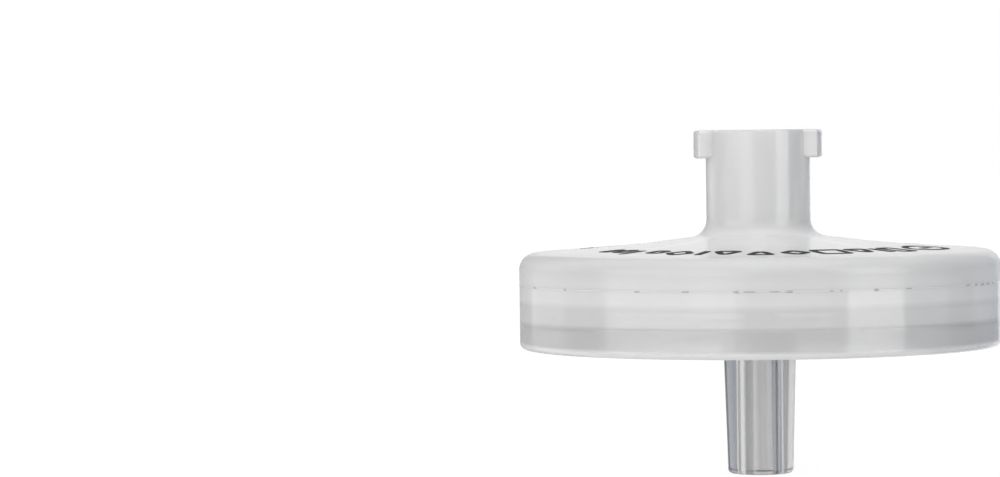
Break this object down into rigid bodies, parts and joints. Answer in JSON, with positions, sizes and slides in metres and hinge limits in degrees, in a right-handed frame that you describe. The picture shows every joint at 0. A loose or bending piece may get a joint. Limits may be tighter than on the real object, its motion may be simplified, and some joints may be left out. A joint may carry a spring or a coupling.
{
  "type": "syringe filter",
  "caption": "Flat round syringe filter with a welded housing around a membrane disc, a luer lock inlet hub with ears on top and a tapered luer outlet spout below.",
  "frame": {"origin": "centre of the end face of the outlet spout, the lowest point of the filter", "axes": "+Z along the axis of flow, from the spout up to the inlet hub; +X through one of the two lock ears"},
  "size_m": [0.029, 0.029, 0.0207],
  "materials": {
    "cover_polypropylene": "fine matt moulded natural polypropylene, milky",
    "outlet_polypropylene": "smooth moulded natural polypropylene, cloudy and translucent",
    "cellulose_membrane": "dull white cellulose ester"
  },
  "bodies": {
    "root": {"inlet_housing": "cover_polypropylene", "membrane": "cellulose_membrane", "outlet_housing": "outlet_polypropylene"}
  },
  "joints": []
}
